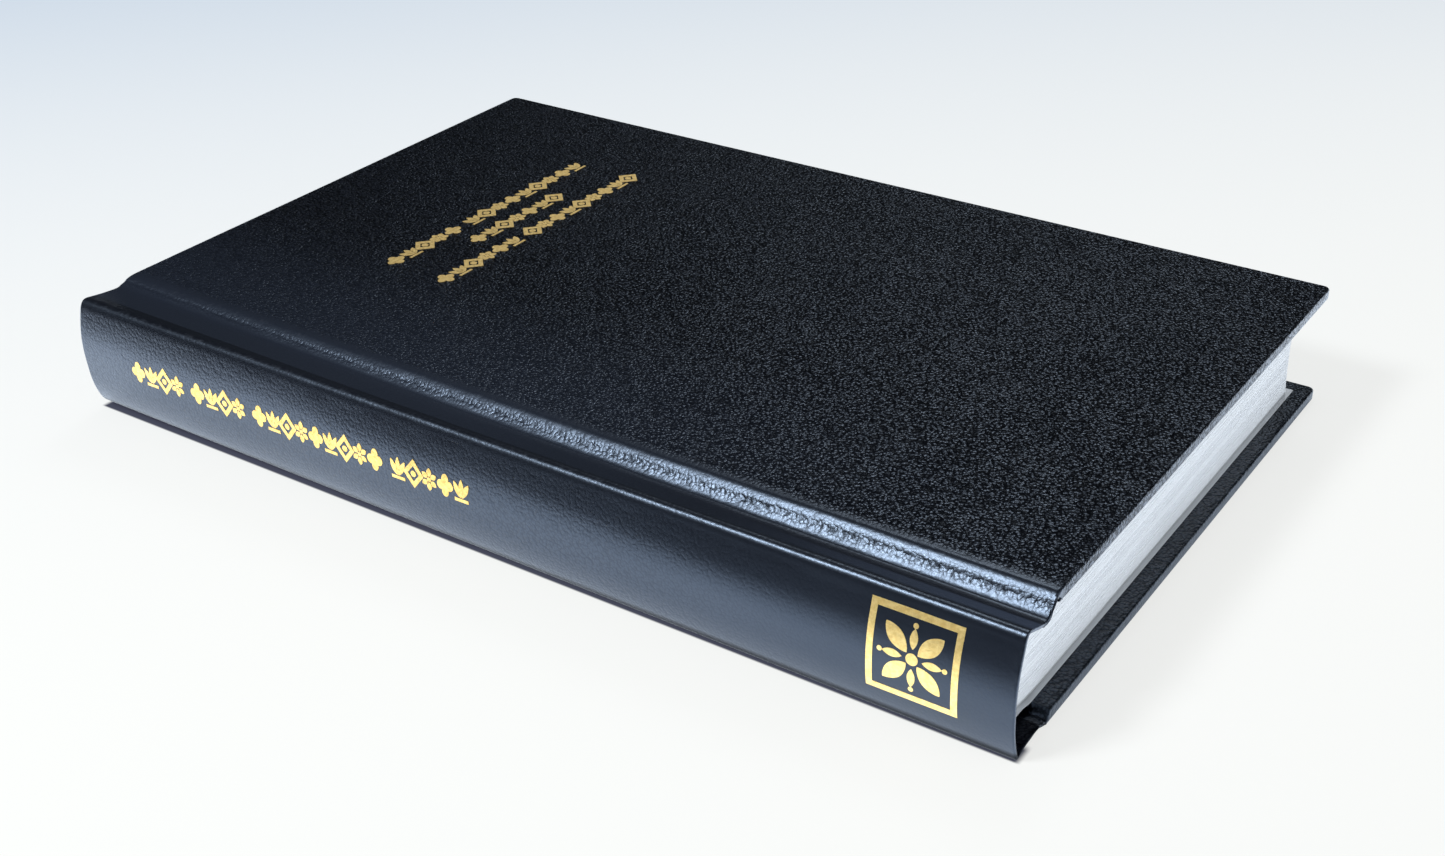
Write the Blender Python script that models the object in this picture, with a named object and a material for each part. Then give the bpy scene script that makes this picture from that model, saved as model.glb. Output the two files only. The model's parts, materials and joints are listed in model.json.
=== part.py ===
"""A sewn, case-bound prayer book lying closed on its back cover.

Frame: metres, +Z up. X runs from the spine to the fore-edge, Y from the tail to the head,
Z from the back cover to the front cover. The origin is the bottom centre of the closed book.

Inside the book everything is laid out on a working section (s, z) in millimetres: s is the
distance from the spine ridges towards the fore-edge, z the height above the table. The book is
symmetric about its middle plane, so a piece of the back cover is the front one turned over.
"""

import math

import bmesh
import bpy
from mathutils import Vector

MM = 0.001

# ---- driving dimensions, mm -------------------------------------------------------------
BOOK_HEIGHT = 225.0  # head to tail over the covers
THICKNESS = 26.9  # over both covers
FORE_EDGE = 145.5  # spine ridge to the fore-edge of the covers
SPINE_BULGE = 2.7  # how far the rounded spine stands out past the ridges
RIDGE = 0.5  # s of the two spine ridges
RIDGE_HEIGHT = 12.35  # ridge above or below the middle plane

LEATHERETTE = 0.35
BOARD = 1.7
FIT = 0.05  # glue line between two pieces
TURN_IN = 15.0  # how far the leatherette is turned over the inner faces
BOARD_EDGE = 12.6  # s where the boards start, past the French groove

BLOCK_HEIGHT = 215.9
BLOCK_FORE = 139.2  # s of the trimmed fore-edge at the outer leaves
FORE_HOLLOW = 1.3  # the fore-edge is hollow by this much in the middle
BLOCK_BACK = 0.2  # s of the rounded back at the middle
BACK_ROUND = 2.6  # how much further in the outer folds sit
BACK_HALF = 11.0  # half height of the rounded back
SHOULDER_END = 9.6  # s where the turning leaves leave the glued back
SECTIONS = 14
PAPER_TOP = 21.85  # top of the first section under the turning leaves
PAPER_BOTTOM = 3.30  # bottom of the last section over the rear leaves

HINGE_S = 4.0  # s of both groove hinges
HINGE_Z = 24.2  # height of the front groove hinge
LEAF_START = 9.9
LEAF = 0.30
FLYLEAF = 0.15

MIDDLE = THICKNESS / 2
HALF_Y = BOOK_HEIGHT / 2
BLOCK_Y = BLOCK_HEIGHT / 2
X_SHIFT = -(FORE_EDGE - (SPINE_BULGE - 0.0)) / 2  # centres the closed book on X = 0

FRONT_HINGE = Vector((HINGE_S, 0.0, HINGE_Z))
BACK_HINGE = Vector((HINGE_S, 0.0, THICKNESS - HINGE_Z))
NO_HINGE = Vector((-X_SHIFT, 0.0, 0.0))

for thing in list(bpy.data.objects):
    bpy.data.objects.remove(thing, do_unlink=True)


def finish(name, colour, roughness, metallic=0.0):
    material = bpy.data.materials.new(name)
    material.use_nodes = True
    shader = material.node_tree.nodes["Principled BSDF"]
    shader.inputs["Base Color"].default_value = (*colour, 1.0)
    shader.inputs["Roughness"].default_value = roughness
    shader.inputs["Metallic"].default_value = metallic
    return material


BLACK_LEATHERETTE = finish("black_leatherette", (0.010, 0.011, 0.015), 0.42)
GREYBOARD = finish("greyboard", (0.36, 0.33, 0.29), 0.9)
SPINE_CARD = finish("spine_card", (0.45, 0.41, 0.34), 0.85)
WHITE_PAPER = finish("white_paper", (0.86, 0.88, 0.92), 0.8)
END_PAPER = finish("end_paper", (0.84, 0.86, 0.90), 0.75)
LINING_PAPER = finish("lining_paper", (0.55, 0.45, 0.32), 0.85)
MULL_CLOTH = finish("mull_cloth", (0.80, 0.79, 0.74), 0.95)
THREAD = finish("linen_thread", (0.83, 0.80, 0.72), 0.7)
BAND_CLOTH = finish("band_cloth", (0.88, 0.88, 0.90), 0.6)


def world(s, y, z, hinge):
    """A point of the working section, in metres from the piece's origin."""
    return Vector((s - hinge.x, y - hinge.y, z - hinge.z)) * MM


def add_object(name, bm, material, hinge):
    bmesh.ops.recalc_face_normals(bm, faces=bm.faces)
    mesh = bpy.data.meshes.new(name)
    bm.to_mesh(mesh)
    bm.free()
    mesh.materials.append(material)
    obj = bpy.data.objects.new(name, mesh)
    obj.location = Vector((hinge.x + X_SHIFT, hinge.y, hinge.z)) * MM
    bpy.context.scene.collection.objects.link(obj)
    return obj


def prism_mesh(outline, y0, y1, hinge):
    """The closed outline [(s, z), ...] extruded along Y."""
    bm = bmesh.new()
    near = [bm.verts.new(world(s, y0, z, hinge)) for s, z in outline]
    face = bm.faces.new(near)
    grown = bmesh.ops.extrude_face_region(bm, geom=[face])
    moved = [v for v in grown["geom"] if isinstance(v, bmesh.types.BMVert)]
    bmesh.ops.translate(bm, vec=Vector((0, (y1 - y0) * MM, 0)), verts=moved)
    return bm


def prism(name, outline, y0, y1, material, hinge=NO_HINGE):
    return add_object(name, prism_mesh(outline, y0, y1, hinge), material, hinge)


def slab(name, s0, s1, y0, y1, z0, z1, material, hinge=NO_HINGE):
    return prism(name, [(s0, z0), (s1, z0), (s1, z1), (s0, z1)], y0, y1, material, hinge)


def turned(outline):
    """The same outline on the other side of the middle plane."""
    return [(s, THICKNESS - z) for s, z in outline]


def offset(path, distance):
    """The open path moved sideways, to its left as it runs."""
    moved = []
    for i, (s, z) in enumerate(path):
        before = path[max(i - 1, 0)]
        after = path[min(i + 1, len(path) - 1)]
        ds, dz = after[0] - before[0], after[1] - before[1]
        length = math.hypot(ds, dz)
        moved.append((s - dz / length * distance, z + ds / length * distance))
    return moved


def sheet(path, outer, inner):
    """The outline of a sheet between two offsets of a path."""
    return offset(path, outer) + offset(path, inner)[::-1]


def join(base, *others):
    """Boolean unions, with the joined shapes kept as hidden helpers."""
    for other in others:
        other.hide_render = True
        other.display_type = "WIRE"
        union = base.modifiers.new("join_" + other.name, "BOOLEAN")
        union.operation = "UNION"
        union.solver = "EXACT"
        union.object = other
    return base


def soften(obj, width, segments=2):
    bevel = obj.modifiers.new("soft_edges", "BEVEL")
    bevel.width = width * MM
    bevel.segments = segments
    bevel.limit_method = "ANGLE"
    bevel.angle_limit = math.radians(50)
    return obj


# ---- curves of the back ---------------------------------------------------------------
def spine_outer(u):
    """The rounded outer face of the spine, u from -1 (rear ridge) to 1 (front ridge)."""
    return (RIDGE - (SPINE_BULGE + RIDGE) * (1 - u * u), MIDDLE + RIDGE_HEIGHT * u)


def block_back(u):
    """The rounded back of the folded sections."""
    return (BLOCK_BACK + BACK_ROUND * u * u, MIDDLE + BACK_HALF * u)


def run(curve, u0, u1, steps):
    return [curve(u0 + (u1 - u0) * i / steps) for i in range(steps + 1)]


# The outer face of the covering at the front groove, from the groove floor to the ridge.
GROOVE_FLOOR = [(9.0, 24.40), (6.0, 24.55), (3.6, 24.90), (2.5, 25.42), (1.7, 25.82), (1.05, 25.93), (0.62, 25.86)]
SPINE_PATH = GROOVE_FLOOR + run(spine_outer, 0.965, -0.965, 16) + turned(GROOVE_FLOOR)[::-1]

# ---- the case ----------------------------------------------------------------------------
# One sheet of leatherette covers both boards and the spine. It is parted here at the two
# groove hinges, because each part rides on a different side of a hinge.
spine_leatherette = prism(
    "spine_leatherette", sheet(SPINE_PATH, 0, LEATHERETTE), -HALF_Y, HALF_Y, BLACK_LEATHERETTE
)
panel = run(spine_outer, 0.86, -0.86, 14)
hooks = []
for end, sign in (("head", 1), ("tail", -1)):
    edge, inner = sorted((sign * (HALF_Y - 0.02), sign * (HALF_Y - 0.40)))
    near, far = sorted((sign * (HALF_Y - 0.20), sign * (HALF_Y - TURN_IN)))
    hooks.append(prism(f"{end}_cap", sheet(panel, 0.2, 1.25), edge, inner, BLACK_LEATHERETTE))
    hooks.append(prism(f"{end}_turn_in", sheet(panel, 0.95, 1.25), near, far, BLACK_LEATHERETTE))
join(spine_leatherette, *hooks)

prism(
    "spine_stiffener",
    sheet(run(spine_outer, 0.90, -0.90, 16), 0.40, 0.90),
    -(HALF_Y - 0.5),
    HALF_Y - 0.5,
    SPINE_CARD,
)


def cover(side, hinge, turn):
    """The board of one cover with its covering, its mull flange and its pastedown."""
    board = prism(
        f"{side}_board",
        turn([(BOARD_EDGE + 0.35, 24.80), (FORE_EDGE - 0.40, 24.80), (FORE_EDGE - 0.40, 26.50), (BOARD_EDGE + 0.35, 26.50)]),
        -(HALF_Y - 0.40),
        HALF_Y - 0.40,
        GREYBOARD,
        hinge,
    )
    soften(board, 0.15, 1)

    # The covering rises out of the groove, rolls over the board edge and runs to the fore-edge.
    top = [(9.3, 24.40), (10.4, 25.20), (11.4, 26.05), (12.1, 26.62), (12.7, 26.86), (13.3, 26.90), (FORE_EDGE, 26.90)]
    covering = prism(
        f"{side}_cover_leatherette",
        turn(top + [(s, z - LEATHERETTE) for s, z in top[::-1]]),
        -HALF_Y,
        HALF_Y,
        BLACK_LEATHERETTE,
        hinge,
    )
    rim = bmesh.new()
    # The turned-over edges: a wall round three sides with a flange on the inner face.
    start, wall, flange = BOARD_EDGE + 0.35, 0.33, TURN_IN
    fore, side_y = FORE_EDGE - 0.02, HALF_Y - 0.02
    levels = ((26.75, 0.0), (26.75, wall), (24.76, wall), (24.76, flange), (24.40, flange), (24.40, 0.0))
    rings = []
    for z, inset in levels:
        corners = [(start, -side_y + inset), (fore - inset, -side_y + inset), (fore - inset, side_y - inset), (start, side_y - inset)]
        ring = []
        for s, y in corners:
            (s2, z2), = turn([(s, z)])
            ring.append(rim.verts.new(world(s2, y, z2, hinge)))
        rings.append(ring)
    for a, b in zip(rings, rings[1:] + rings[:1]):
        for i in range(3):
            rim.faces.new((a[i], a[i + 1], b[i + 1], b[i]))
    rim.faces.new([ring[0] for ring in rings])
    rim.faces.new([ring[3] for ring in rings][::-1])
    turn_in = add_object(f"{side}_turn_in", rim, BLACK_LEATHERETTE, hinge)
    join(covering, turn_in)

    prism(
        f"{side}_mull_flange",
        turn([(BOARD_EDGE + 0.35, 24.52), (38.0, 24.52), (38.0, 24.67), (BOARD_EDGE + 0.35, 24.67)]),
        -92.0,
        92.0,
        MULL_CLOTH,
        hinge,
    )
    prism(
        f"{side}_pastedown",
        turn([(BOARD_EDGE + 0.35, HINGE_Z), (FORE_EDGE - 4.0, HINGE_Z), (FORE_EDGE - 4.0, 24.35), (BOARD_EDGE + 0.35, 24.35)]),
        -(HALF_Y - 3.5),
        HALF_Y - 3.5,
        END_PAPER,
        hinge,
    )


cover("front", FRONT_HINGE, list)
cover("back", BACK_HINGE, turned)

# ---- the text block ------------------------------------------------------------------------
def fore_edge(z):
    v = (z - MIDDLE) / (MIDDLE - 2.7)
    return BLOCK_FORE - FORE_HOLLOW * (1 - v * v)


# The swelled shoulders of the outer sections, under the front groove floor.
SHOULDER = [(2.75, 24.38), (3.6, 24.08), (6.0, 23.72), (SHOULDER_END, 23.58)]


def boundary(k):
    """The line between two sections, from the back to the fore-edge."""
    u = 1 - 2 * k / SECTIONS
    z = PAPER_TOP - (PAPER_TOP - PAPER_BOTTOM) * k / SECTIONS
    s, back_z = block_back(u)
    line = [(s + 0.35, back_z), (s + 2.2, back_z + (z - back_z) * 0.12), (8.0, back_z + (z - back_z) * 0.55)]
    return line + [(16.0, z), (60.0, z), (100.0, z), (fore_edge(z), z)]


def section(k):
    """One folded gathering, k = 1 at the front of the book."""
    gap = 0.03
    if k == 1:
        upper = SHOULDER + [(SHOULDER_END, PAPER_TOP), (16.0, PAPER_TOP), (60.0, PAPER_TOP), (100.0, PAPER_TOP), (fore_edge(PAPER_TOP), PAPER_TOP)]
    else:
        upper = [(s, z - gap) for s, z in boundary(k - 1)]
    if k == SECTIONS:
        lower = turned(SHOULDER) + [(SHOULDER_END, PAPER_BOTTOM), (16.0, PAPER_BOTTOM), (60.0, PAPER_BOTTOM), (100.0, PAPER_BOTTOM), (fore_edge(PAPER_BOTTOM), PAPER_BOTTOM)]
    else:
        lower = [(s, z + gap) for s, z in boundary(k)]
    middle_u = 1 - 2 * (k - 0.5) / SECTIONS
    fold = [block_back(middle_u)]
    middle_z = (upper[-1][1] + lower[-1][1]) / 2
    outline = upper + [(fore_edge(middle_z), middle_z)] + lower[::-1] + fold
    prism(f"section_{k:02d}", outline, -BLOCK_Y, BLOCK_Y, WHITE_PAPER)


for number in range(1, SECTIONS + 1):
    section(number)

# Sewing: the thread that links every section to the next shows on the back as five lines.
for name, y in (("kettle_stitch_head", 100.0), ("link_stitch_head", 50.0), ("link_stitch_middle", 0.0), ("link_stitch_tail", -50.0), ("kettle_stitch_tail", -100.0)):
    path = offset(run(block_back, 0.93, -0.93, 20), -0.32)
    bm = bmesh.new()
    rings = []
    for i, (s, z) in enumerate(path):
        before, after = path[max(i - 1, 0)], path[min(i + 1, len(path) - 1)]
        ds, dz = after[0] - before[0], after[1] - before[1]
        length = math.hypot(ds, dz)
        ring = []
        for j in range(6):
            angle = math.tau * j / 6
            out, along = 0.19 * math.cos(angle), 0.25 * math.sin(angle)
            ring.append(bm.verts.new(world(s - dz / length * out, y + along, z + ds / length * out, NO_HINGE)))
        rings.append(ring)
    for a, b in zip(rings, rings[1:]):
        for j in range(6):
            bm.faces.new((a[j], a[(j + 1) % 6], b[(j + 1) % 6], b[j]))
    bm.faces.new(rings[0])
    bm.faces.new(rings[-1])
    stitch = add_object(name, bm, THREAD, NO_HINGE)
    stitch.data.shade_smooth()

# The mull wraps the glued back and both shoulders.
mull_shoulder = [(9.0, 23.90), (6.0, 24.05), (3.7, 24.42), (2.9, 24.80), (2.35, 24.83)]
mull_path = mull_shoulder + offset(run(block_back, 0.97, -0.97, 18), -0.75) + turned(mull_shoulder)[::-1]
prism("spine_mull", sheet(mull_path, 0, 0.14), -100.0, 100.0, MULL_CLOTH)

lining_path = run(block_back, 0.95, -0.95, 18)
prism("spine_lining_paper", sheet(lining_path, -1.02, -0.82), -106.0, 106.0, LINING_PAPER)

# Head and tail bands: a corded roll on each end of the back, with a cloth tab behind the lining.
for name, sign in (("head_band", 1), ("tail_band", -1)):
    path = offset(run(block_back, 0.90, -0.90, 18), 0.35)
    bm = bmesh.new()
    rings = []
    for i, (s, z) in enumerate(path):
        before, after = path[max(i - 1, 0)], path[min(i + 1, len(path) - 1)]
        ds, dz = after[0] - before[0], after[1] - before[1]
        length = math.hypot(ds, dz)
        ring = []
        for j in range(8):
            angle = math.tau * (j + 0.5) / 8
            out, up = 0.85 * math.cos(angle), 0.85 * math.sin(angle)
            ring.append(bm.verts.new(world(s - dz / length * out, sign * (BLOCK_Y + 0.95 + up), z + ds / length * out, NO_HINGE)))
        rings.append(ring)
    for a, b in zip(rings, rings[1:]):
        for j in range(8):
            bm.faces.new((a[j], a[(j + 1) % 8], b[(j + 1) % 8], b[j]))
    bm.faces.new(rings[0])
    bm.faces.new(rings[-1])
    band = add_object(name, bm, BAND_CLOTH, NO_HINGE)
    band.data.shade_smooth()

# ---- leaves that turn with the covers ----------------------------------------------------------
# Each is hinged on the groove line, where its fold is glued down to the shoulder.
def leaf(name, z0, z1, hinge, material):
    fore = fore_edge((z0 + z1) / 2)
    slab(name, LEAF_START, fore, -BLOCK_Y, BLOCK_Y, z0, z1, material, hinge)


top = HINGE_Z - FIT
leaf("front_flyleaf", top - FLYLEAF, top, FRONT_HINGE, END_PAPER)
top -= FLYLEAF + FIT
for number in range(1, 7):
    leaf(f"front_leaf_{number}", top - LEAF, top, FRONT_HINGE, WHITE_PAPER)
    top -= LEAF + FIT

bottom = THICKNESS - HINGE_Z + FIT
leaf("back_flyleaf", bottom, bottom + FLYLEAF, BACK_HINGE, END_PAPER)
bottom += FLYLEAF + FIT
leaf("back_leaf_1", bottom, bottom + LEAF, BACK_HINGE, WHITE_PAPER)
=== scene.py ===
import json
import math

import bmesh
import bpy
import numpy as np
from mathutils import Matrix, Vector


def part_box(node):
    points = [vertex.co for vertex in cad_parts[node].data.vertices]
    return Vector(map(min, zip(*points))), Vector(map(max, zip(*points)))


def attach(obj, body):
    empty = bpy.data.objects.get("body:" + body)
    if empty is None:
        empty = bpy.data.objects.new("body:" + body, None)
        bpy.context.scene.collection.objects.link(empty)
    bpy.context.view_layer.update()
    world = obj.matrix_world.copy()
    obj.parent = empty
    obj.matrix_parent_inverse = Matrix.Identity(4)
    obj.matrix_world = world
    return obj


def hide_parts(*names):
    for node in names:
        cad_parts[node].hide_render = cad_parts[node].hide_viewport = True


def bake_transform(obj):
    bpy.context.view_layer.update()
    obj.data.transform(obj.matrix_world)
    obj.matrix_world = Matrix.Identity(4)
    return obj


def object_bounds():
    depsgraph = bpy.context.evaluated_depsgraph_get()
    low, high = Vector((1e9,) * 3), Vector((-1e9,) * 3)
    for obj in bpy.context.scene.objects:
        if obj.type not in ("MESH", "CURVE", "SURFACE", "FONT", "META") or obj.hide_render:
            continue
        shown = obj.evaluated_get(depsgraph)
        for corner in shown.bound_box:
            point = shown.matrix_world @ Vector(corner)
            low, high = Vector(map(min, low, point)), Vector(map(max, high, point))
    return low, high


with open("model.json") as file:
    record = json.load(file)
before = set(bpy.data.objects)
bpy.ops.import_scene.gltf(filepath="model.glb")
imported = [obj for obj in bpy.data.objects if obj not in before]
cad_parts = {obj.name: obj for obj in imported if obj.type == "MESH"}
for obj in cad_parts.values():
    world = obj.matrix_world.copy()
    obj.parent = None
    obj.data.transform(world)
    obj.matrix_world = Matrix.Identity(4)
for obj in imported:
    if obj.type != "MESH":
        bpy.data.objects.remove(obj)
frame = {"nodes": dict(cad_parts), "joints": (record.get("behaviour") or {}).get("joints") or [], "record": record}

cad_box = [list(map(float, corner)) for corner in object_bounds()]

# Working coordinates, in mm: s runs from the spine ridge to the fore-edge, y from tail to head,
# z up from the table. They come from the frame: the hinges sit at s = 4.
hinges = {j["name"]: j for j in frame["joints"]}
FRONT_X, _, FRONT_Z = [c * 1000 for c in hinges["front_cover_hinge"]["pos_m"]]
S0 = FRONT_X - 4.0
low, high = Vector(cad_box[0]) * 1000, Vector(cad_box[1]) * 1000
T = high.z
MID = T / 2
HALF = high.y
FORE = high.x - S0
board_lo, board_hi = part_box("front_board")
leaf_lo, leaf_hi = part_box("front_flyleaf")
BLOCK_Y = leaf_hi.y * 1000
BLOCK_FORE = leaf_hi.x * 1000 - S0
INNER = T - 2.5
R_PLAN = 1.5


# ------------------------------------------------------------------ small tools
class Noise2:
    """Smooth value noise on a fixed random table."""

    def __init__(self, seed):
        self.table = np.random.RandomState(seed).rand(64, 64)

    def __call__(self, x, y=0.0):
        x, y = np.broadcast_arrays(np.asarray(x, float), np.asarray(y, float))
        i, j = np.floor(x).astype(int), np.floor(y).astype(int)
        fx, fy = x - i, y - j
        fx, fy = fx * fx * (3 - 2 * fx), fy * fy * (3 - 2 * fy)
        a, b = self.table[i % 64, j % 64], self.table[(i + 1) % 64, j % 64]
        c, d = self.table[i % 64, (j + 1) % 64], self.table[(i + 1) % 64, (j + 1) % 64]
        return (a * (1 - fx) + b * fx) * (1 - fy) + (c * (1 - fx) + d * fx) * fy


def step(e0, e1, x):
    t = np.clip((np.asarray(x, float) - e0) / (e1 - e0), 0, 1)
    return t * t * (3 - 2 * t)


def to_world(points):
    """(n, 3) working points in mm to metres in the frame."""
    p = np.array(points, float).reshape(-1, 3)
    return np.column_stack([(p[:, 0] + S0), p[:, 1], p[:, 2]]) * 0.001


def new_mesh(name, points, faces, attributes=None, smooth=True):
    mesh = bpy.data.meshes.new(name)
    mesh.from_pydata(to_world(points).tolist(), [], [tuple(int(i) for i in f) for f in faces])
    for key, values in (attributes or {}).items():
        layer = mesh.attributes.new(key, "FLOAT", "POINT")
        layer.data.foreach_set("value", np.asarray(values, np.float32))
    mesh.update()
    obj = bpy.data.objects.new(name, mesh)
    bpy.context.scene.collection.objects.link(obj)
    if smooth:
        mesh.shade_smooth()
    return obj


def clean(obj, distance=2e-6):
    bm = bmesh.new()
    bm.from_mesh(obj.data)
    bmesh.ops.remove_doubles(bm, verts=bm.verts, dist=distance)
    bmesh.ops.dissolve_degenerate(bm, edges=bm.edges, dist=1e-7)
    bmesh.ops.recalc_face_normals(bm, faces=bm.faces)
    bm.to_mesh(obj.data)
    bm.free()
    obj.data.update()


def apply_modifiers(obj):
    graph = bpy.context.evaluated_depsgraph_get()
    graph.update()
    mesh = bpy.data.meshes.new_from_object(obj.evaluated_get(graph))
    obj.modifiers.clear()
    old = obj.data
    obj.data = mesh
    bpy.data.meshes.remove(old)


def keep_rest(obj):
    """Stores each point's place at rest, in working mm, so that a material stays on a piece that bends."""
    co = np.empty(len(obj.data.vertices) * 3, np.float32)
    obj.data.vertices.foreach_get("co", co)
    co = co.reshape(-1, 3) * 1000
    co[:, 0] -= S0
    layer = obj.data.attributes.get("rest") or obj.data.attributes.new("rest", "FLOAT_VECTOR", "POINT")
    layer.data.foreach_set("vector", co.ravel())


def sharpen(obj, degrees):
    obj.data.shade_smooth()
    obj.data.set_sharp_from_angle(angle=math.radians(degrees))


# ------------------------------------------------------------------ materials
LEATHER_MM = 0.24


class Nodes:
    def __init__(self, name):
        self.material = bpy.data.materials.new(name)
        self.material.use_nodes = True
        self.tree = self.material.node_tree
        self.tree.nodes.clear()
        self.out = self.tree.nodes.new("ShaderNodeOutputMaterial")
        self.shader = self.tree.nodes.new("ShaderNodeBsdfPrincipled")
        self.link(self.shader.outputs[0], self.out.inputs["Surface"])

    def link(self, a, b):
        self.tree.links.new(a, b)

    def add(self, kind, outputs=0, settings=None, **inputs):
        node = self.tree.nodes.new(kind)
        for key, value in (settings or {}).items():
            setattr(node, key, value)
        for key, value in inputs.items():
            key = int(key[1:]) if key[0] == "i" and key[1:].isdigit() else key.replace("_", " ")
            socket = node.inputs[key]
            if isinstance(value, bpy.types.NodeSocket):
                self.link(value, socket)
            else:
                socket.default_value = value
        return node.outputs[outputs]

    def rest(self):
        return self.add("ShaderNodeAttribute", 1, {"attribute_name": "rest"})

    def factor(self, name):
        return self.add("ShaderNodeAttribute", 2, {"attribute_name": name})

    def frame_mm(self):
        at = self.add("ShaderNodeTexCoord", 3)
        return self.add("ShaderNodeVectorMath", 0, {"operation": "MULTIPLY"}, i0=at, i1=(1000, 1000, 1000))

    def math(self, operation, a, b=0.0, c=0.0, clamp=False):
        return self.add("ShaderNodeMath", 0, {"operation": operation, "use_clamp": clamp}, i0=a, i1=b, i2=c)

    def noise(self, vector, scale, detail=2.0, rough=0.5):
        return self.add("ShaderNodeTexNoise", 0, None, Vector=vector, Scale=scale, Detail=detail, Roughness=rough)

    def voronoi(self, vector, scale, feature="F1", output="Distance"):
        node = self.tree.nodes.new("ShaderNodeTexVoronoi")
        node.feature = feature
        self.link(vector, node.inputs["Vector"])
        node.inputs["Scale"].default_value = scale
        return node.outputs[output]

    def mix_value(self, factor, a, b):
        node = self.tree.nodes.new("ShaderNodeMix")
        node.data_type = "FLOAT"
        for k, x in enumerate((factor, a, b)):
            socket = node.inputs[(0, 2, 3)[k]]
            if isinstance(x, bpy.types.NodeSocket):
                self.link(x, socket)
            else:
                socket.default_value = x
        return node.outputs[0]

    def ramp(self, value, a, b, lo=0.0, hi=1.0, smooth=True):
        node = self.tree.nodes.new("ShaderNodeMapRange")
        if smooth:
            node.interpolation_type = "SMOOTHSTEP"
        for key, x in (("Value", value), ("From Min", a), ("From Max", b), ("To Min", lo), ("To Max", hi)):
            if isinstance(x, bpy.types.NodeSocket):
                self.link(x, node.inputs[key])
            else:
                node.inputs[key].default_value = x
        return node.outputs[0]

    def mix(self, factor, a, b):
        node = self.tree.nodes.new("ShaderNodeMix")
        node.data_type = "RGBA"
        for socket, x in ((node.inputs[0], factor), (node.inputs[6], a), (node.inputs[7], b)):
            if isinstance(x, bpy.types.NodeSocket):
                self.link(x, socket)
            else:
                socket.default_value = x if socket.type == "VALUE" else (*x[:3], 1.0)
        return node.outputs[2]

    def scaled(self, vector, x, y, z):
        return self.add("ShaderNodeVectorMath", 0, {"operation": "MULTIPLY"}, i0=vector, i1=(x, y, z))

    def bump(self, height, mm, strength=1.0, normal=None):
        node = self.tree.nodes.new("ShaderNodeBump")
        node.inputs["Distance"].default_value = mm * 0.001
        if isinstance(strength, bpy.types.NodeSocket):
            self.link(strength, node.inputs["Strength"])
        else:
            node.inputs["Strength"].default_value = strength
        self.link(height, node.inputs["Height"])
        if normal is not None:
            self.link(normal, node.inputs["Normal"])
        return node.outputs[0]

    def set(self, **inputs):
        for key, value in inputs.items():
            socket = self.shader.inputs[key.replace("_", " ")]
            if isinstance(value, bpy.types.NodeSocket):
                self.link(value, socket)
            elif socket.type == "RGBA":
                socket.default_value = (*value[:3], 1.0)
            else:
                socket.default_value = value
        return self.material


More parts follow.
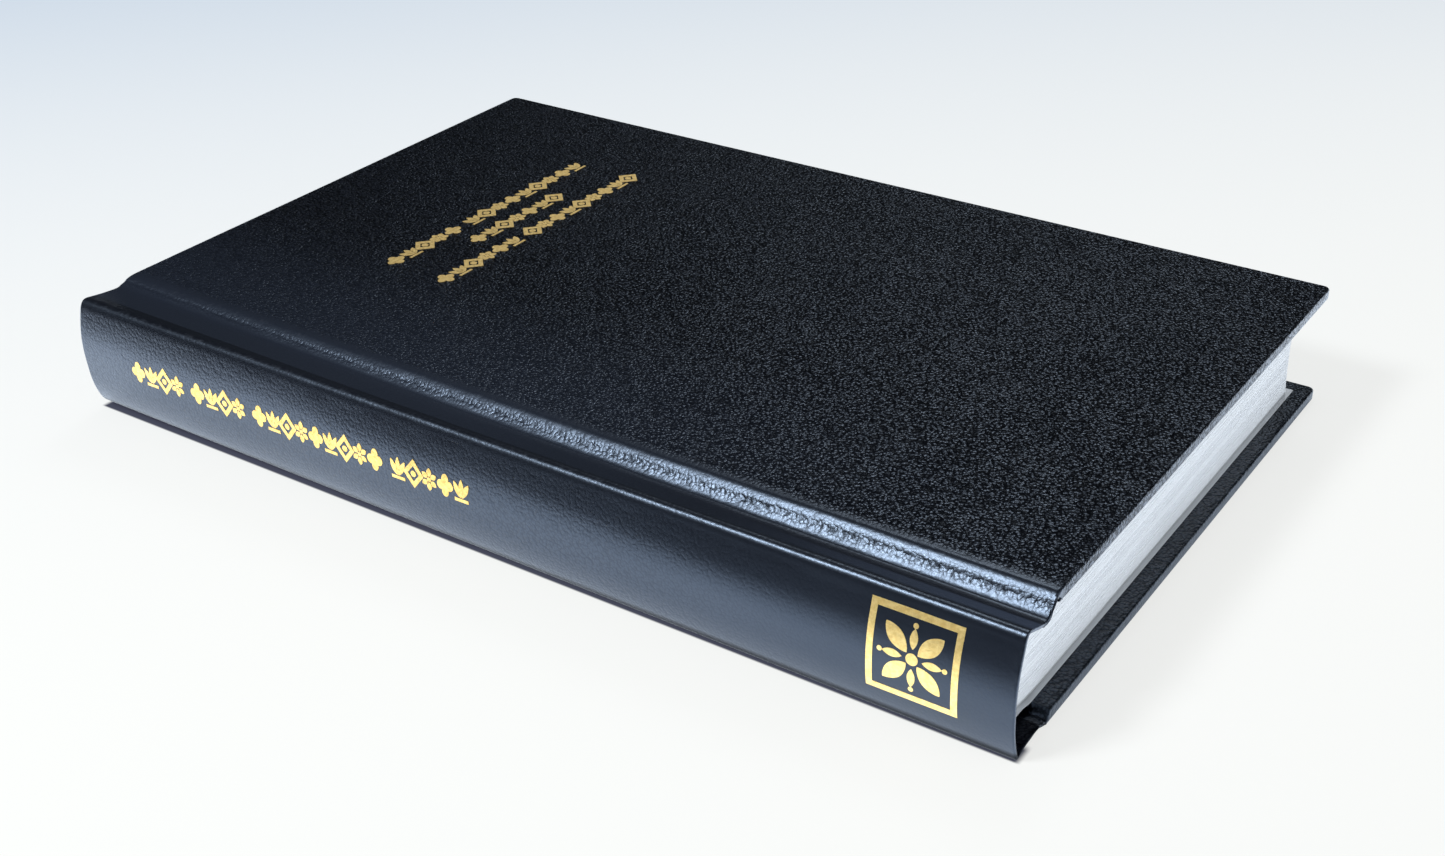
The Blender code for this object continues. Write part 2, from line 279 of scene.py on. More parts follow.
def leatherette():
    """Embossed black leatherette: pebbles of about 0.5 mm with fine creases, flatter where it is stretched."""
    n = Nodes("black_leatherette")
    at = n.rest()
    wander = n.add("ShaderNodeTexNoise", 1, None, Vector=at, Scale=0.9, Detail=2.0)
    moved = n.add("ShaderNodeVectorMath", 0, {"operation": "MULTIPLY_ADD"}, i0=wander, i1=(0.7, 0.7, 0.7), i2=at)
    cells = n.voronoi(moved, 1.5, "F1")
    dome = n.math("SUBTRACT", 1.0, n.math("MULTIPLY", cells, cells))
    small = n.voronoi(moved, 2.9, "SMOOTH_F1")
    fine = n.noise(at, 5.5, 2.0, 0.5)
    height = n.math("MULTIPLY", dome, 0.86)
    height = n.math("MULTIPLY_ADD", small, -0.20, height)
    height = n.math("MULTIPLY_ADD", fine, 0.07, height)
    parts = n.tree.nodes.new("ShaderNodeSeparateXYZ")
    n.link(at, parts.inputs[0])
    across, along, up = parts.outputs
    # The spine's skin is pulled smooth towards the tail.
    pulled = n.math("MULTIPLY", n.ramp(along, -15.0, -90.0), n.math("LESS_THAN", across, 1.5))
    slick = n.mix_value(pulled, n.factor("slick"), 0.975)
    patch = n.ramp(n.noise(at, 0.05, 2.0), 0.3, 0.7, 0.85, 1.1)
    strength = n.math("MULTIPLY", n.math("SUBTRACT", 1.0, n.math("MULTIPLY", slick, 0.95)), patch)
    normal = n.bump(height, LEATHER_MM, strength)
    wear = n.factor("wear")
    rub = n.math("MULTIPLY", wear, n.ramp(n.noise(at, 0.9, 4.0, 0.65), 0.48, 0.78), clamp=True)
    tone = n.ramp(n.noise(at, 0.03, 3.0), 0.3, 0.7)
    base = n.mix(tone, (0.0019, 0.0021, 0.0040), (0.0027, 0.0030, 0.0054))
    # Painted shade: the hollows between the pebbles get a darker base colour, except where the skin is stretched
    # smooth.
    hollow_shade = n.ramp(dome, 0.62, 0.90)
    hollow_shade = n.mix_value(slick, hollow_shade, 1.0)
    base = n.mix(hollow_shade, (0.0010, 0.0011, 0.0018), base)
    # Painted light: the base colour is lifted on the front cover's face towards the spine, more towards the head, and
    # in the groove floor towards the tail.
    front = n.math("GREATER_THAN", up, 19.0)
    side = n.math("MULTIPLY", n.ramp(across, 9.0, 62.0, 0.22, 0.0), n.math("GREATER_THAN", across, 2.9))
    side = n.math("MULTIPLY", side, n.ramp(along, -90.0, 20.0, 0.1, 1.0))
    channel = n.math("MULTIPLY", n.ramp(across, 2.9, 4.2), n.ramp(across, 7.4, 6.6))
    channel = n.math("MULTIPLY", channel, n.ramp(along, -112.0, -45.0, 0.85, 0.0))
    painted_lift = n.math("MULTIPLY", n.math("ADD", side, channel), front)
    base = n.mix(painted_lift, base, (0.026, 0.034, 0.054))
    base = n.mix(rub, base, (0.020, 0.022, 0.028))
    speck = n.math("LESS_THAN", n.voronoi(n.scaled(at, 1, 1, 0.2), 0.035), 0.0026)
    base = n.mix(speck, base, (0.35, 0.36, 0.38))
    rough = n.ramp(fine, 0.3, 0.7, 0.26, 0.33)
    rough = n.math("MULTIPLY_ADD", slick, 0.045, rough)
    rough = n.math("MULTIPLY_ADD", rub, 0.10, rough)
    # Painted shade: the reflection is turned down in the pebbles' hollows, and nearly off where the 'under' attribute
    # marks the spine's foot and the rear joint.
    level = n.mix_value(slick, n.ramp(dome, 0.62, 0.92, 0.10, 0.62), 0.60)
    level = n.math("MULTIPLY", level, n.ramp(n.factor("under"), 0.0, 1.0, 1.0, 0.08, False))
    n.set(Base_Color=base, Roughness=rough, Normal=normal, IOR=1.55, Specular_IOR_Level=level)
    return n.set(Specular_Tint=(0.62, 0.77, 1.0))


def paper(name, tint=(0.83, 0.85, 0.88), edge=0.0, printed=False, frame_coords=False):
    n = Nodes(name)
    at = n.frame_mm() if frame_coords else n.rest()
    fibre = n.noise(n.scaled(at, 1.0, 1.0, 1.0), 2.2, 5.0, 0.65)
    cloud = n.noise(at, 0.06, 3.0)
    dark = tuple(c * 0.955 for c in tint)
    base = n.mix(n.ramp(cloud, 0.3, 0.7), dark, tint)
    base = n.mix(n.ramp(fibre, 0.35, 0.75, 0.0, 0.25), base, tuple(min(1, c * 1.05) for c in tint))
    height = n.noise(n.scaled(at, 1.0, 1.0, 1.0), 4.0, 3.0, 0.6)
    bump_mm = 0.012
    if edge:
        lines = n.noise(n.scaled(at, 0.05, 0.012, 7.0), 1.0, 2.0, 0.6)
        cuts = n.noise(n.scaled(at, 0.9, 0.9, 0.05), 1.0, 3.0, 0.6)
        base = n.mix(n.ramp(lines, 0.36, 0.62, edge, 0.0), base, tuple(c * 0.72 for c in tint))
        height = n.math("MULTIPLY_ADD", lines, 0.8, n.math("MULTIPLY", cuts, 0.25))
        bump_mm = 0.02
    if printed:
        base = staves(n, at, base)
    normal = n.bump(height, bump_mm, 0.8)
    return n.set(Base_Color=base, Roughness=0.78, Normal=normal, IOR=1.45, Sheen_Weight=0.05)


def staves(n, at, base):
    """Plain four-line music staves with square notes at random places. It holds no words."""
    parts = n.tree.nodes.new("ShaderNodeSeparateXYZ")
    n.link(at, parts.inputs[0])
    s, y, z = parts.outputs
    pitch = 19.0
    row = n.math("FLOOR", n.math("DIVIDE", n.math("ADD", y, 88.0), pitch))
    in_row = n.math("SUBTRACT", n.math("ADD", y, 88.0), n.math("MULTIPLY", row, pitch))
    page = n.math("MULTIPLY", n.math("GREATER_THAN", s, 21.0), n.math("LESS_THAN", s, 127.0))
    page = n.math("MULTIPLY", page, n.math("LESS_THAN", n.math("ABSOLUTE", y), 88.0))
    ink = 0.0
    for k in range(4):
        line = n.math("LESS_THAN", n.math("ABSOLUTE", n.math("SUBTRACT", in_row, 6.0 + 2.3 * k)), 0.17)
        ink = n.math("MAXIMUM", ink, line)
    red = n.math("MULTIPLY", ink, page)
    cell = n.math("FLOOR", n.math("DIVIDE", s, 3.4))
    in_cell = n.math("SUBTRACT", s, n.math("MULTIPLY", n.math("ADD", cell, 0.5), 3.4))
    key = n.add("ShaderNodeCombineXYZ", 0, None, X=cell, Y=row, Z=1.7)
    white = n.tree.nodes.new("ShaderNodeTexWhiteNoise")
    n.link(key, white.inputs["Vector"])
    pick = white.outputs["Value"]
    channel = n.tree.nodes.new("ShaderNodeSeparateColor")
    n.link(white.outputs["Color"], channel.inputs[0])
    seat = n.math("MULTIPLY_ADD", n.math("FLOOR", n.math("MULTIPLY", channel.outputs[1], 6.0)), 1.15, 6.6)
    across = n.math("LESS_THAN", n.math("ABSOLUTE", in_cell), 0.75)
    upright = n.math("LESS_THAN", n.math("ABSOLUTE", n.math("SUBTRACT", in_row, seat)), 0.72)
    note = n.math("MULTIPLY", n.math("MULTIPLY", across, upright), n.math("GREATER_THAN", pick, 0.34))
    inner = n.math("MULTIPLY", n.math("GREATER_THAN", s, 25.0), n.math("LESS_THAN", s, 124.0))
    note = n.math("MULTIPLY", n.math("MULTIPLY", note, inner), page)
    base = n.mix(n.math("MULTIPLY", red, 0.75), base, (0.16, 0.10, 0.10))
    return n.mix(n.math("MULTIPLY", note, 0.9), base, (0.03, 0.03, 0.035))


def gold_foil(name, dull, bright, rough):
    n = Nodes(name)
    at = n.rest()
    patch = n.noise(at, 1.3, 4.0, 0.6)
    base = n.mix(n.ramp(patch, 0.3, 0.7), dull, bright)
    height = n.noise(at, 3.2, 3.0, 0.6)
    cells = n.voronoi(at, 1.8, "SMOOTH_F1")
    height = n.math("MULTIPLY_ADD", cells, -0.7, height)
    normal = n.bump(height, 0.045, 0.8)
    shine = n.ramp(n.noise(at, 2.0, 3.0), 0.3, 0.7, rough - 0.07, rough + 0.08)
    return n.set(Base_Color=base, Metallic=0.88, Roughness=shine, Normal=normal)


def cloth(name, tint, pitch, coords="frame", mm=0.05):
    """A woven cloth: threads over and under at the given pitch in mm."""
    n = Nodes(name)
    at = n.frame_mm() if coords == "frame" else n.rest()
    one = n.add("ShaderNodeTexWave", 1, {"wave_type": "BANDS", "bands_direction": "Y"}, Vector=at, Scale=0.314 / pitch, Distortion=0.6, Detail=1.0)
    two = n.add("ShaderNodeTexWave", 1, {"wave_type": "BANDS", "bands_direction": "Z"}, Vector=at, Scale=0.314 / pitch, Distortion=0.6, Detail=1.0)
    three = n.add("ShaderNodeTexWave", 1, {"wave_type": "BANDS", "bands_direction": "X"}, Vector=at, Scale=0.314 / pitch, Distortion=0.6, Detail=1.0)
    weave = n.math("MAXIMUM", one, n.math("MAXIMUM", two, three))
    fuzz = n.noise(at, 5.0, 3.0, 0.7)
    base = n.mix(n.ramp(weave, 0.2, 0.9), tuple(c * 0.6 for c in tint), tint)
    base = n.mix(n.ramp(fuzz, 0.3, 0.7, 0, 0.3), base, tuple(c * 0.85 for c in tint))
    normal = n.bump(n.math("MULTIPLY_ADD", fuzz, 0.2, weave), mm, 0.9)
    return n.set(Base_Color=base, Roughness=0.9, Normal=normal, Sheen_Weight=0.3)


def pulp(name, light, dark, scale=1.6, rough=0.88):
    """Board, card and lining paper: short mixed fibres and flecks."""
    n = Nodes(name)
    at = n.frame_mm()
    fibre = n.noise(n.scaled(at, 1.0, 0.25, 1.0), scale, 6.0, 0.7)
    fleck = n.voronoi(at, scale * 0.8, "F1")
    base = n.mix(n.ramp(fibre, 0.35, 0.65), dark, light)
    base = n.mix(n.ramp(fleck, 0.02, 0.10, 0.45, 0.0), base, tuple(c * 0.5 for c in dark))
    normal = n.bump(n.noise(at, scale * 3, 4.0, 0.65), 0.05, 0.8)
    return n.set(Base_Color=base, Roughness=rough, Normal=normal)


LEATHER = leatherette()
PAGE_EDGES = paper("page_edges", (0.88, 0.90, 0.94), edge=0.28)
# Painted shade: the end paper and the printed leaves get a greyer tint than the page edges, to offset the strong light
# on their faces.
END_PAPER = paper("end_paper", (0.545, 0.56, 0.585))
PRINTED = paper("printed_leaf", (0.55, 0.56, 0.575), printed=True)
# Painted shade and light: the same foil gets a darker base colour on the spine title, where it reflects the bright
# floor, a brighter one on the cover, where it reflects a dark room, and a brighter one again on the spine square.
GOLD = gold_foil("gold_foil", (0.60, 0.375, 0.095), (0.76, 0.51, 0.165), 0.36)
GOLD_SQUARE = gold_foil("gold_foil_square", (0.84, 0.575, 0.19), (0.97, 0.72, 0.29), 0.42)
GOLD_COVER = gold_foil("gold_foil_cover", (0.80, 0.55, 0.20), (0.95, 0.71, 0.31), 0.50)
MULL = cloth("mull_cloth", (0.74, 0.73, 0.68), 0.9)
BAND = cloth("band_cloth", (0.86, 0.86, 0.88), 0.35, "rest", 0.03)
THREAD = cloth("linen_thread", (0.76, 0.73, 0.64), 0.25, "frame", 0.02)
BOARD = pulp("greyboard", (0.36, 0.33, 0.29), (0.20, 0.18, 0.16))
CARD = pulp("spine_card", (0.43, 0.39, 0.32), (0.27, 0.24, 0.19))
KRAFT = pulp("lining_paper", (0.50, 0.38, 0.24), (0.36, 0.26, 0.15), 2.2)


# ------------------------------------------------------------------ the covering
def spline(points, counts):
    """Catmull-Rom through the points, with counts[i] steps in segment i."""
    p = np.array(points, float)
    out = []
    for i, count in enumerate(counts):
        a, b = p[max(i - 1, 0)], p[i]
        c, d = p[i + 1], p[min(i + 2, len(p) - 1)]
        for k in range(count):
            t = k / count
            out.append(0.5 * (2 * b + (c - a) * t + (2 * a - 5 * b + 4 * c - d) * t**2 + (3 * b - a - 3 * c + d) * t**3))
    out.append(p[-1])
    return np.array(out)


# Outer face of the covering in the section, from the floor of the rear groove round the spine,
# over the front ridge, through the front groove and up to the board. The spine leans a little:
# at the tail it is pushed in towards the block and the groove is deep, at the head it stands out.
TAIL = [
    (3.6, 0.80), (2.6, 0.42), (1.9, 0.16), (1.25, 0.06), (0.75, 0.40),
    (0.20, 1.7), (-0.50, 3.8), (-1.15, 7.0), (-1.36, 10.8), (-1.26, 14.3), (-0.72, 18.1), (0.14, 21.2), (0.76, 23.2),
    (1.08, 24.3), (1.46, 24.98), (2.02, 25.38), (2.80, 25.42), (3.8, 25.04),
    (5.3, 24.45), (7.1, 23.82), (8.4, 23.46), (9.2, 23.40),
    (9.64, 23.60), (10.08, 23.97), (10.74, 24.66), (11.62, 25.70), (12.28, 26.37), (12.72, 26.69), (13.16, 26.86), (13.6, 26.90),
]
HEAD = [
    (3.6, 2.00), (2.5, 1.48), (1.7, 1.10), (1.05, 0.95), (0.45, 1.10),
    (-0.70, 2.4), (-1.75, 5.0), (-2.45, 8.3), (-2.72, 12.0), (-2.80, 15.4), (-2.62, 18.9), (-2.10, 22.2), (-1.55, 24.4),
    (-1.15, 25.40), (-0.60, 26.10), (0.10, 26.42), (0.95, 26.42), (2.3, 26.18),
    (4.6, 25.85), (7.0, 25.62), (8.4, 25.56), (9.2, 25.60),
    (9.64, 25.68), (10.08, 25.81), (10.74, 26.06), (11.62, 26.45), (12.28, 26.69), (12.72, 26.81), (13.16, 26.88), (13.6, 26.90),
]
STEPS = [2, 2, 2, 2, 3, 3, 3, 3, 3, 3, 3, 3, 3, 3, 4, 4, 3, 3, 4, 3, 2, 3, 3, 4, 5, 4, 3, 3, 2]
MARKS = np.concatenate([[0], np.cumsum(STEPS)])
TAIL_PATH, HEAD_PATH = spline(TAIL, STEPS), spline(HEAD, STEPS)
GROOVE_A, SLOPE_A, SLOPE_B = MARKS[17], MARKS[21], MARKS[29]
RIDGE_A, RIDGE_B = MARKS[12], MARKS[17]
SPINE_A, SPINE_B = MARKS[4], MARKS[12]

crease_noise, fine_noise, wide_noise = Noise2(11), Noise2(12), Noise2(13)


def board_run():
    return np.concatenate([np.arange(15.6, FORE - 6.0, 5.0), [FORE - 4.0, FORE - 2.4, FORE - R_PLAN]])


def lean(y):
    """0 at the tail, 1 at the head: how far the joint has passed from its tail shape to its head shape."""
    return np.clip((np.asarray(y) + HALF) / (2 * HALF), 0, 1) ** 1.5


def front_path(y):
    """(points, normals) of the covering's outer face at height y along the book."""
    v = float(lean(y))
    joint = TAIL_PATH * (1 - v) + HEAD_PATH * v
    top = np.array([(s, T) for s in board_run()])
    path = np.vstack([joint, top])
    normal = normals_of(path)
    # The slope up to the board waves a little and carries faint wrinkles across it.
    along = np.zeros(len(path))
    index = np.arange(SLOPE_A, SLOPE_B + 1)
    length = np.concatenate([[0], np.cumsum(np.linalg.norm(np.diff(path[index], axis=0), axis=1))])
    share = length / length[-1]
    centre = 0.44 + 0.07 * (crease_noise(y * 0.05, 3.0) - 0.5) + 0.04 * (crease_noise(y * 0.22, 9.0) - 0.5)
    depth = 0.035 + 0.05 * crease_noise(y * 0.09, 5.0)
    fold = -depth * np.exp(-(((share - centre) / 0.09) ** 2))
    fold += (crease_noise(y * 0.16, 21.0 + share * 2.0) - 0.5) * 0.10
    ripple = (fine_noise(y * 0.8, 1.0 + share * 4.0) - 0.5) * 0.045
    along[index] = (fold + ripple) * np.sin(np.pi * np.clip(share, 0, 1)) ** 0.5
    floor = np.arange(GROOVE_A, SLOPE_A)
    along[floor] += (wide_noise(y * 0.09, floor * 0.13) - 0.5) * 0.10
    ridge = np.arange(RIDGE_A, RIDGE_B)
    along[ridge] += (wide_noise(y * 0.12, 7.0) - 0.5) * 0.09 + (fine_noise(y * 0.4, 3.3) - 0.5) * 0.03
    spine = np.arange(SPINE_A, SPINE_B)
    swell = np.sin(np.pi * (spine - SPINE_A) / (SPINE_B - SPINE_A))
    along[spine] += swell * (wide_noise(y * 0.035, 2.0 + spine * 0.12) - 0.5) * 0.30
    flat = np.arange(SLOPE_B + 1, len(path))
    along[flat] += (wide_noise(y * 0.03, path[flat, 0] * 0.03) - 0.5) * 0.05 * step(13.5, 25, path[flat, 0]) * step(FORE, FORE - 12, path[flat, 0])
    return path + normal * along[:, None], normal


REAR_TAIL = [(3.6, 0.80), (5.0, 0.98), (7.0, 1.10), (8.6, 1.10), (9.3, 1.00), (10.3, 0.66), (11.3, 0.30), (12.0, 0.10), (12.7, 0.01), (13.6, 0.0)]
REAR_HEAD = [(3.6, 2.00), (5.0, 2.28), (7.0, 2.45), (8.6, 2.52), (9.2, 2.45), (10.3, 1.78), (11.3, 0.92), (12.0, 0.32), (12.7, 0.03), (13.6, 0.0)]
REAR_STEPS = [3, 3, 3, 2, 4, 4, 4, 3, 2]
REAR_TAIL, REAR_HEAD = spline(REAR_TAIL, REAR_STEPS), spline(REAR_HEAD, REAR_STEPS)


def back_path(y):
    v = float(lean(y))
    path = np.vstack([REAR_TAIL * (1 - v) + REAR_HEAD * v, np.array([(s, 0.0) for s in board_run()])])
    normal = -normals_of(path)
    along = np.zeros(len(path))
    joint = np.arange(3, len(REAR_TAIL) - 3)
    share = (joint - joint[0]) / (joint[-1] - joint[0])
    along[joint] = (crease_noise(y * 0.12, 31.0 + joint * 0.2) - 0.5) * 0.12 * np.sin(np.pi * share)
    return path + normal * along[:, None], normal


def normals_of(path):
    """Left-hand normals of an open path."""
    d = np.gradient(path, axis=0)
    d /= np.linalg.norm(d, axis=1)[:, None]
    return np.column_stack([-d[:, 1], d[:, 0]])


def edge_ring(h, r):
    """(outward, depth) steps that carry the covering over an edge and back across the inner face."""
    arc = [(-r + r * math.sin(a), r - r * math.cos(a)) for a in np.linspace(0, math.pi / 2, 5)]
    under = [(-r + r * math.cos(a), h - r + r * math.sin(a)) for a in np.linspace(0, math.pi / 2, 5)]
    return [(-R_PLAN, 0.0), (-r - 0.2, 0.0)] + arc + [(0.0, h / 2)] + under + [(-1.3, h), (-3.0, h), (-6.0, h), (-10.0, h), (-15.0, h)]


RINGS = len(edge_ring(2.5, 0.45))
crumple_noise = Noise2(21)


def covering(name, path_at, height_of, down, slick_of, wear_of, under_of):
    """One skin of leatherette, turned over the head, the tail and the fore-edge."""
    columns = np.arange(-(HALF - R_PLAN), HALF - R_PLAN + 1e-6, 0.6)
    columns = np.linspace(-(HALF - R_PLAN), HALF - R_PLAN, len(columns))
    paths = [path_at(y) for y in columns]
    count = len(paths[0][0])
    rows = len(columns)
    points = [np.column_stack([p[:, 0], np.full(count, y), p[:, 1]]) for (p, _), y in zip(paths, columns)]
    points = [np.vstack(points)]
    slick = [np.tile(slick_of(paths[0][0]), rows)]
    wear = [np.tile(wear_of(paths[0][0]), rows)]
    under = [np.tile(under_of(paths[0][0]), rows)]
    at = lambda j, i: j * count + i
    faces = []
    for j in range(rows - 1):
        base = j * count
        for i in range(count - 1):
            faces.append((base + i, base + i + 1, base + count + i + 1, base + count + i))
    total = rows * count

    # The outline runs along the tail, round a corner, up the fore-edge, round a corner and back along the head.
    outline = []  # (grid index, base s, base y, outward s, outward y, path index or None)
    for i in range(count):
        outline.append((at(0, i), 0, i, 0.0, -1.0))
    corner = 7
    for k in range(1, corner):
        a = -math.pi / 2 + math.pi / 2 * k / corner
        outline.append((at(0, count - 1), 0, count - 1, math.cos(a), math.sin(a)))
    for j in range(rows):
        outline.append((at(j, count - 1), j, count - 1, 1.0, 0.0))
    for k in range(1, corner):
        a = math.pi / 2 * k / corner
        outline.append((at(rows - 1, count - 1), rows - 1, count - 1, math.cos(a), math.sin(a)))
    for i in range(count - 1, -1, -1):
        outline.append((at(rows - 1, i), rows - 1, i, 0.0, 1.0))

    previous = [o[0] for o in outline]
    heights = height_of(paths[0][0])
    for k in range(1, RINGS):
        ring = np.zeros((len(outline), 3))
        ring_slick, ring_wear, ring_under = np.zeros(len(outline)), np.zeros(len(outline)), np.zeros(len(outline))
        for m, (_, j, i, ds, dy) in enumerate(outline):
            h, r = heights[i]
            o, depth = edge_ring(h, r)[k]
            p, normal = paths[j][0][i], paths[j][1][i]
            y = columns[j]
            reach = R_PLAN + o
            s, yy = p[0], y
            if reach >= 0:
                s, yy = s + ds * reach, yy + dy * reach
            else:
                if dy != 0 and ds == 0:
                    yy = y + dy * reach
                    s = min(s, FORE + o)
                elif ds == 1.0:
                    s = s + reach
                    yy = max(min(y, HALF + o), -(HALF + o))
                else:
                    s, yy = FORE + o, math.copysign(HALF + o, y)
            # Down through the board's thickness, along the path's own normal.
            side = normal if down > 0 else normal
            point = np.array([s - side[0] * depth, yy, p[1] - side[1] * depth])
            # The folded edges crumple a little where the groove meets the board.
            near = math.exp(-(((p[0] - 10.5) / 2.6) ** 2)) if ds == 0.0 else 0.0
            if near > 0.02 and k > 2 and down < 0:
                near *= 1.6
            if near > 0.02 and k > 2:
                shake = crumple_noise(p[0] * 0.9, k * 0.7 + (0 if dy < 0 else 20)) - 0.5
                point += np.array([0.25 * shake, 0.30 * (crumple_noise(k * 0.8, p[0] * 0.7 + 5) - 0.7) * -dy * -1.0, -down * 0.25 * abs(shake)]) * near
            ring[m] = point
            ring_slick[m] = slick[0][i] * (0.5 if k > 8 else 1.0)
            ring_under[m] = under[0][i]
            ring_wear[m] = 0.9 if 2 <= k <= 6 else (0.5 if k <= 11 else 0.15)
        points.append(ring)
        slick.append(ring_slick)
        wear.append(ring_wear)
        under.append(ring_under)
        now = list(range(total, total + len(outline)))
        for m in range(len(outline) - 1):
            quad = (previous[m], now[m], now[m + 1], previous[m + 1])
            faces.append(tuple(dict.fromkeys(quad)) if len(set(quad)) > 2 else quad)
        previous = now
        total += len(outline)
    faces = [f for f in faces if len(set(f)) > 2]
    if down < 0:
        faces = [f[::-1] for f in faces]
    obj = new_mesh(name, np.vstack(points), faces, {"slick": np.concatenate(slick), "wear": np.concatenate(wear), "under": np.concatenate(under)})
    bm = bmesh.new()
    bm.from_mesh(obj.data)
    bmesh.ops.remove_doubles(bm, verts=bm.verts, dist=4e-6)
    bmesh.ops.dissolve_degenerate(bm, edges=bm.edges, dist=1e-6)
    bm.to_mesh(obj.data)
    bm.free()
    thick = obj.modifiers.new("leather", "SOLIDIFY")
    thick.thickness = 0.00028
    thick.offset = -1.0
    thick.use_even_offset = False
    thick.use_quality_normals = True
    apply_modifiers(obj)
    keep_rest(obj)
    obj.data.materials.clear()
    obj.data.materials.append(LEATHER)
    sharpen(obj, 75)
    return obj


def front_heights(path):
    out = []
    for i, (s, z) in enumerate(path):
        if i < SPINE_B + 6:
            out.append((0.80, 0.34))
        else:
            t = float(step(11.9, 13.3, s))
            g = float(step(RIDGE_A, GROOVE_A, i))
            thin = 0.80 * (1 - g) + 0.66 * g
            out.append((thin * (1 - t) + 2.5 * t, 0.30 * (1 - t) + 0.42 * t))
    return out


def front_slick(path):
    i = np.arange(len(path))
    slick = np.zeros(len(path))
    slick += 0.80 * ((i >= 0) & (i <= RIDGE_A))
    slick += 0.92 * ((i > RIDGE_A) & (i <= RIDGE_B))
    slick += 0.92 * ((i > RIDGE_B) & (i < SLOPE_A))
    share = (i - SLOPE_A) / (SLOPE_B - SLOPE_A)
    middle = np.exp(-(((share - 0.42) / 0.17) ** 2))
    slick += (0.95 - 0.30 * middle) * ((i >= SLOPE_A) & (i <= SLOPE_B))
    return slick


def front_wear(path):
    i = np.arange(len(path))
    ridge = np.exp(-(((i - (RIDGE_A + RIDGE_B) / 2) / 3.0) ** 2))
    edge = np.exp(-(((path[:, 0] - 12.4) / 0.7) ** 2)) * (i > GROOVE_A)
    return np.clip(0.75 * ridge + 0.6 * edge, 0, 1)


def front_foot_shade(path):
    # Painted shade: marks the foot of the spine, where the leather's reflection is turned down to draw a dark line.
    i = np.arange(len(path))
    return step(SPINE_A + 4.2, SPINE_A + 2.4, i)


def back_heights(path):
    out = []
    for s, z in path:
        t = float(step(11.9, 13.3, s))
        out.append((0.85 * (1 - t) + 2.5 * t, 0.36 * (1 - t) + 0.42 * t))
    return out


front_covering = covering("front_covering", front_path, front_heights, 1, front_slick, front_wear, front_foot_shade)
back_covering = covering(
    "back_covering",
    back_path,
    back_heights,
    -1,
    lambda path: 0.8 * (path[:, 0] < 9.0) + 0.72 * (path[:, 0] >= 9.0),
    lambda path: 0.5 * np.exp(-(((path[:, 0] - 12.4) / 0.7) ** 2)),
    # Painted shade: the back covering's joint, below s = 9 mm, gets the same lowered reflection.
    lambda path: 1.0 * (path[:, 0] < 9.0),
)


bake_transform(front_covering)
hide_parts("front_cover_leatherette", "spine_leatherette")
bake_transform(back_covering)
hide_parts("back_cover_leatherette")

# ------------------------------------------------------------------ the text block
PLATEAU_TOP, PLATEAU_LOW = 24.15, 2.75
SPAN = PLATEAU_TOP - PLATEAU_LOW


STATIONS = np.array([-1.0, 2.75, 3.8, 6.0, 9.0, 10.5, 12.0, 16.0, 30.0, 200.0])
UPPER_TAIL = np.array([11.0, 10.95, 10.45, 9.70, 8.95, 9.25, 9.85, 10.60, 10.70, 10.70])
UPPER_HEAD = np.array([11.0, 11.0, 10.9, 10.75, 10.65, 10.66, 10.68, 10.70, 10.70, 10.70])
LOWER = np.array([11.0, 10.95, 10.72, 10.25, 10.02, 10.08, 10.25, 10.62, 10.70, 10.70])


def half_height(s, v, upper):
    """Half the block's thickness at s: full in the pages, pinched under the grooves, swelled at the shoulders."""
    f = lambda table: np.interp(np.asarray(s, float), STATIONS, table)
    return (f(UPPER_TAIL) * (1 - v) + f(UPPER_HEAD) * v) if upper else f(LOWER)


def line_z(q, s, v):
    return MID + (1 - 2 * q) * half_height(s, v ** 1.5, q < 0.5)


def back_s(u):
    return 0.2 + 2.6 * u * u


def fore_s(z):
    k = (z - MID) / (MID - 2.7)
    return BLOCK_FORE - 1.3 * (1 - k * k)


S_RUN = np.array([4.2, 5.2, 6.2, 7.4, 8.6, 9.8, 11.0, 12.2, 13.6, 15.2, 17.5, 22.0, 34.0, 60.0, 90.0, 118.0])


def sheet_solid(path_tail, path_head, thick, y0, y1, shades=None):
    """A closed sheet: the same path at both ends in y, given thickness across itself."""
    out = []
    for path, y in ((path_tail, y0), (path_head, y1)):
        n = normals_of(path)
        for side in (0.5, -0.5):
            moved = path + n * thick * side
            out.append(np.column_stack([moved[:, 0], np.full(len(path), y), moved[:, 1]]))
    c = len(path_tail)
    a, b, d, e = 0, c, 2 * c, 3 * c  # tail upper, tail lower, head upper, head lower
    faces = []
    for i in range(c - 1):
        faces.append((a + i, a + i + 1, d + i + 1, d + i))
        faces.append((b + i, e + i, e + i + 1, b + i + 1))
        faces.append((a + i, b + i, b + i + 1, a + i + 1))
        faces.append((d + i, d + i + 1, e + i + 1, e + i))
    faces.append((a, d, e, b))
    faces.append((a + c - 1, b + c - 1, e + c - 1, d + c - 1))
    return np.vstack(out), faces


def combine(name, solids, material, smooth_angle=40):
    points, faces, base = [], [], 0
    for p, f in solids:
        points.append(p)
        faces += [tuple(i + base for i in face) for face in f]
        base += len(p)
    obj = new_mesh(name, np.vstack(points), faces)
    bm = bmesh.new()
    bm.from_mesh(obj.data)
    bmesh.ops.recalc_face_normals(bm, faces=bm.faces)
    bm.to_mesh(obj.data)
    bm.free()
    keep_rest(obj)
    obj.data.materials.append(material)
    sharpen(obj, smooth_angle)
    return obj


